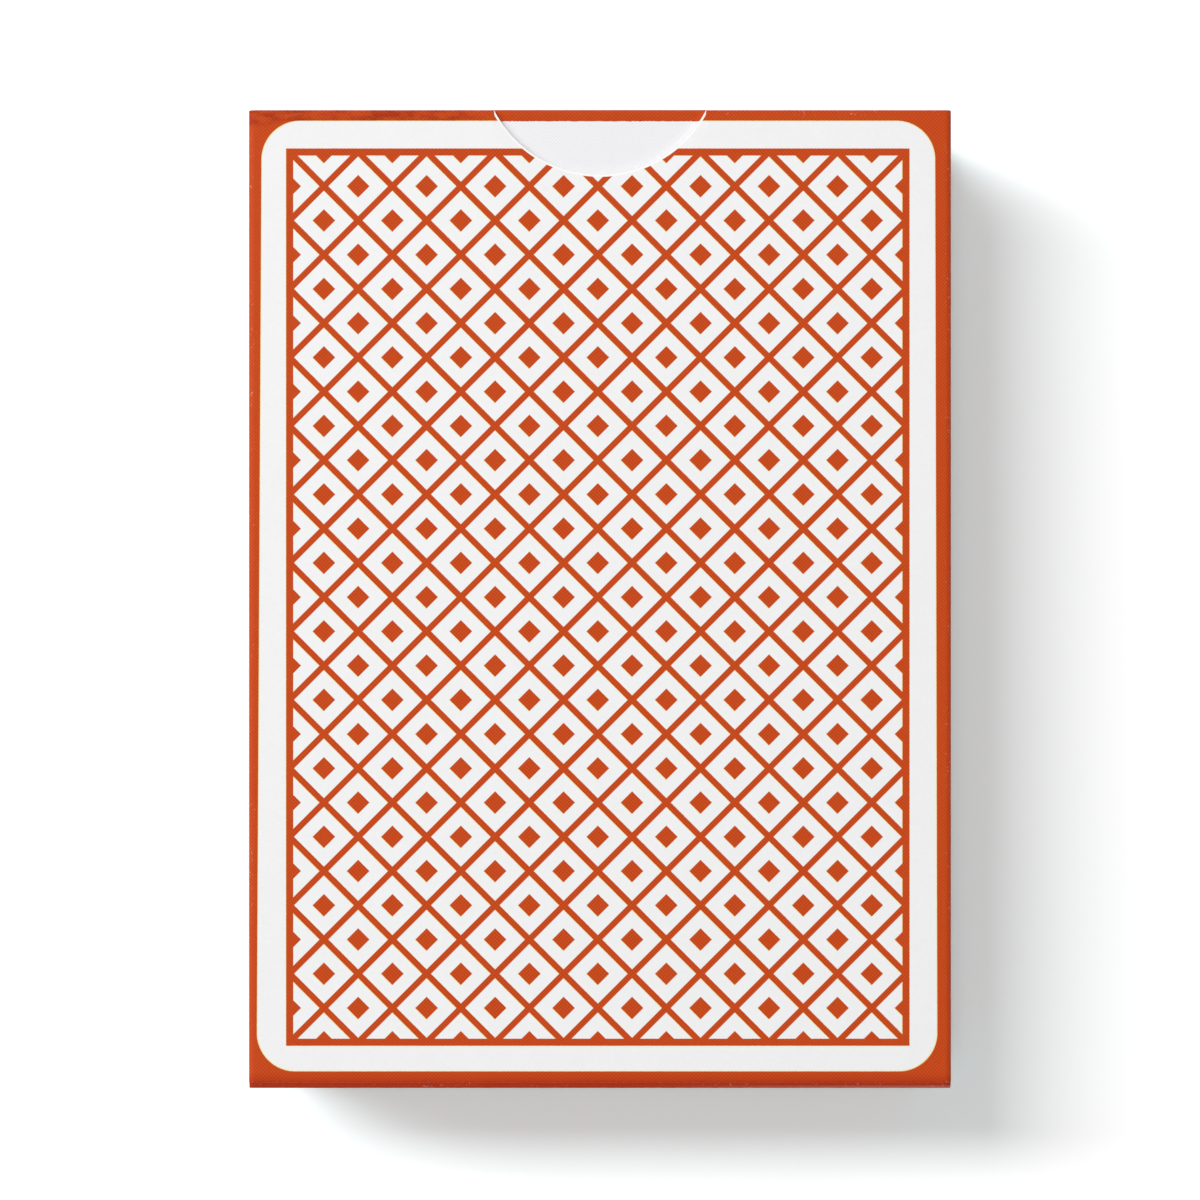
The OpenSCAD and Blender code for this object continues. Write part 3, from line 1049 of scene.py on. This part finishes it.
rankNames = [
    "ace", "two", "three", "four", "five", "six", "seven", "eight", "nine", "ten", "jack", "queen", "king",
]
backPrint, edgeStock = cardBack(), cardEdge()
facePrint = {suit: cardFace(suit) for suit in cardFaces["inks"]}
plainFace = cardFace()
shuffle = np.random.default_rng(card["seed"])
for node in frame["record"]["behaviour"]["bodies"]["deck"]:
    low, high = nodeBox(node)
    move = shuffle.uniform([-card["jitterX"], 0], [card["jitterX"], card["jitterY"]])
    rankName, _, suit = node.partition("_of_")
    cardFaced = [backPrint, facePrint.get(suit, plainFace), edgeStock]
    solid = sheetSolid(cardSheet(low, high, move), high[2] - low[2], card["edgeSoft"])
    cardPiece = makePiece(f"{node}_card", *solid, cardFaced)
    if suit:
        rank = cardPiece.data.attributes.new("rank", "FLOAT", "POINT")
        rank.data.foreach_set("value", np.full(len(solid[0]), 1.0 + rankNames.index(rankName), np.float32))
    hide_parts(node)
    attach(cardPiece, "deck")
print("cards made")


# Stage

studio = {
    "cameraHeight": 285.0,  # above the front panel, in millimetres like the next two
    "fieldWidth": 111.75,  # what the picture spans at the front panel
    "middleY": -0.07,
    "clipStart": 0.01,  # this and all other lengths of the stage are in metres
    "keyFrom": (-0.256, 0.406, 0.877),  # directions of the key lamp's two ends
    "keyTo": (-0.852, 0.295, 0.434),
    "keyReach": 1.40,
    "keyWidth": 0.33,
    "keyPower": 12.9,
    "fillPower": 0.98,
    "fillAngle": np.radians(24),
    "sideFrom": (0.55, -0.75, 0.20),  # a low weak light on the shaded walls
    "sidePower": 0.55,
    "sideAngle": np.radians(50),
    "dome": 0.16,
    "floorHalf": 3.0,
    "floorDrop": 0.00002,
    "floorSeen": (1.219, 1.213, 1.219, 1.0),
    "floorBounce": (0.80, 0.80, 0.80, 1.0),
    "floorNear": (0.926, 1.190, 1.211, 1.0),  # cooler beside the walls, which throw warm light on it
    "nearReach": 0.011,  # over this it falls off, and past a corner between these two
    "cornerTo": 0.025,
    "cornerFrom": -0.015,
    "fadeFrom": 0.10,  # distances from the origin between which the floor fades to white
    "fadeTo": 0.26,
}
black, white = (0, 0, 0, 1), (1, 1, 1, 1)


def makeFloor():
    # wide pale floor, seen a little paler than it bounces, and fading to white further out
    mesh = bpy.data.meshes.new("floor")
    square = np.array([(-1, -1, 0), (1, -1, 0), (1, 1, 0), (-1, 1, 0)]) * studio["floorHalf"]
    mesh.from_pydata((square - (0, 0, studio["floorDrop"])).tolist(), [], [(0, 1, 2, 3)])
    material = bpy.data.materials.new("pale_floor")
    material.use_nodes = True
    sees = Wire(material.node_tree)
    camera, glossy = (sees.node("LightPath", output=name) for name in ("Is Camera Ray", "Is Glossy Ray"))
    place = sees.node("TexCoord", output="Object")
    away = place.node("VectorMath", {"operation": "LENGTH"}, {0: place}, "Value")
    fade = away.ramp(studio["fadeFrom"], studio["fadeTo"]) * camera
    x, y = place.parts()[:2]
    besideX, besideY = abs(x) - case["halfW"] * mm, abs(y) - case["lidY"] * mm
    falloff = (besideX.max(besideY).max(0) / -studio["nearReach"]).math("EXPONENT")
    near = falloff * besideX.min(besideY).ramp(studio["cornerTo"], studio["cornerFrom"])
    seen = near.mix(studio["floorSeen"], studio["floorNear"])
    colour = camera.max(glossy).mix(studio["floorBounce"], seen)
    dress(
        material, baseColor=fade.mix(colour, black), roughness=1.0, specularIORLevel=0.0,
        emissionColor=fade.mix(black, white), emissionStrength=1.0,
    )
    mesh.materials.append(material)
    floor = bpy.data.objects.new("floor", mesh)
    bpy.context.scene.collection.objects.link(floor)


def makeLamp(name, kind, settings, location=(0, 0, 1), along=(0, 1, 0)):
    # a lamp that faces the origin, with its local Y as near a direction as that leaves it
    lamp = bpy.data.lights.new(name, kind)
    for key, value in settings.items():
        setattr(lamp, key, value)
    holder = bpy.data.objects.new(name, lamp)
    back = Vector(location).normalized()
    up = (Vector(along) - back * back.dot(Vector(along))).normalized()
    holder.location = location
    holder.rotation_euler = Matrix((up.cross(back), up, back)).transposed().to_euler()
    bpy.context.scene.collection.objects.link(holder)
    return holder


def makeWorld():
    # white to the camera, a weak dome to everything else
    world = bpy.data.worlds.new("studio")
    world.use_nodes = True
    tree = world.node_tree
    camera = Wire(tree).node("LightPath", output="Is Camera Ray")
    strength = camera * (1 - studio["dome"]) + studio["dome"]
    background = tree.nodes["Background"]
    background.inputs["Color"].default_value = white
    tree.links.new(strength.socket, background.inputs["Strength"])
    bpy.context.scene.world = world


makeFloor()
makeWorld()
keyFrom, keyTo = (Vector(studio[end]) * studio["keyReach"] for end in ("keyFrom", "keyTo"))
keySettings = {
    "shape": "RECTANGLE",
    "size": studio["keyWidth"],
    "size_y": (keyTo - keyFrom).length,
    "energy": studio["keyPower"],
}
makeLamp("key", "AREA", keySettings, (keyFrom + keyTo) / 2, keyTo - keyFrom)
fill = makeLamp("fill", "SUN", {"energy": studio["fillPower"], "angle": studio["fillAngle"]})
lowSettings = {"energy": studio["sidePower"], "angle": studio["sideAngle"]}
lowLamp = makeLamp("low", "SUN", lowSettings, studio["sideFrom"], (0, 0, 1))
fill.visible_glossy = lowLamp.visible_glossy = False

cameraData = bpy.data.cameras.new("camera")
cameraData.lens = cameraData.sensor_width * studio["cameraHeight"] / studio["fieldWidth"]
cameraData.clip_start = studio["clipStart"]
camera = bpy.data.objects.new("camera", cameraData)
camera.location = Vector((0, studio["middleY"], case["depth"] + studio["cameraHeight"])) * mm
bpy.context.scene.collection.objects.link(camera)
bpy.context.scene.camera = camera
bpy.context.scene.view_settings.view_transform = "Standard"
print("stage made")
